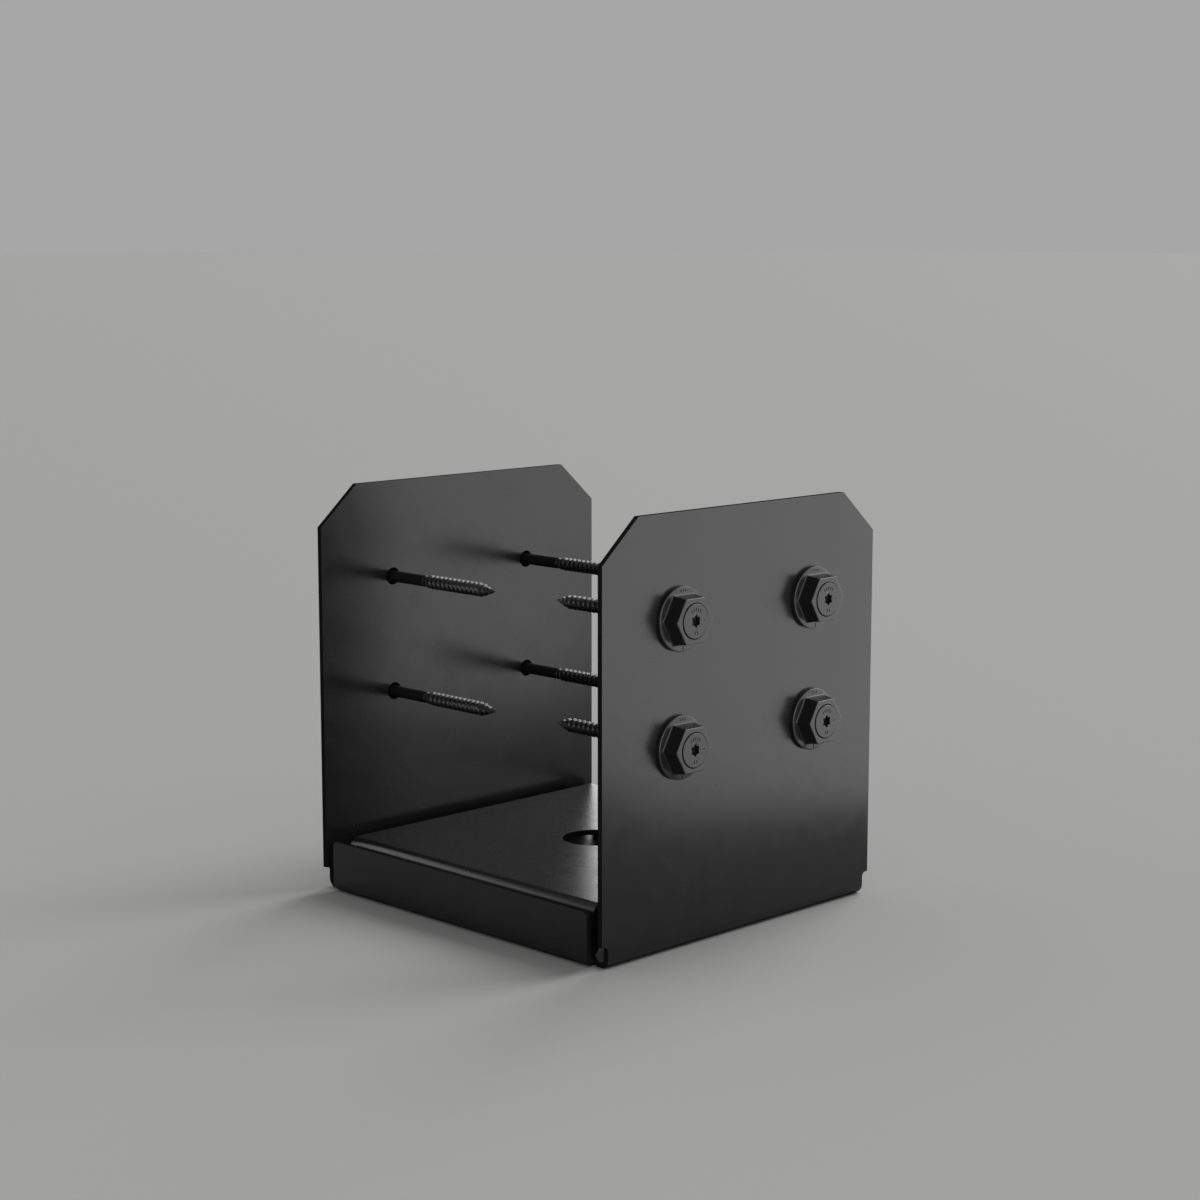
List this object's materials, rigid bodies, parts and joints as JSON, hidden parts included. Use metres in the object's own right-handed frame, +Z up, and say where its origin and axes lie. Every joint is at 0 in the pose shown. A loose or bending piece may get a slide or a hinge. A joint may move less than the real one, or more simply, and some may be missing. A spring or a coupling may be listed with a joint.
{
  "type": "timber post base",
  "caption": "Folded steel base that stands on concrete and holds the foot of a square timber post between two tall legs with hex washers and wood screws",
  "frame": {"origin": "on the ground under the middle of the base plate", "axes": "+Z up along the post; +Y towards the rear tall leg, with the front tall leg at -Y; +X towards the right low flange seen from the front"},
  "size_m": [0.1882, 0.218, 0.202],
  "materials": {
    "bracket_coat": "satin black powder coat with a fine texture on galvanised sheet steel",
    "standoff_coat": "satin black powder coat on galvanised sheet steel",
    "washer_coat": "satin black powder coat on steel",
    "screw_coat": "satin black coating on steel"
  },
  "bodies": {
    "root": {"base_bracket": "bracket_coat", "standoff_plate": "standoff_coat", "hex_washer_front_1": "washer_coat", "hex_washer_front_2": "washer_coat", "hex_washer_front_3": "washer_coat", "hex_washer_front_4": "washer_coat", "hex_washer_rear_1": "washer_coat", "hex_washer_rear_2": "washer_coat", "hex_washer_rear_3": "washer_coat", "hex_washer_rear_4": "washer_coat", "screw_front_1": "screw_coat", "screw_front_2": "screw_coat", "screw_front_3": "screw_coat", "screw_front_4": "screw_coat", "screw_rear_1": "screw_coat", "screw_rear_2": "screw_coat", "screw_rear_3": "screw_coat", "screw_rear_4": "screw_coat"}
  },
  "joints": []
}
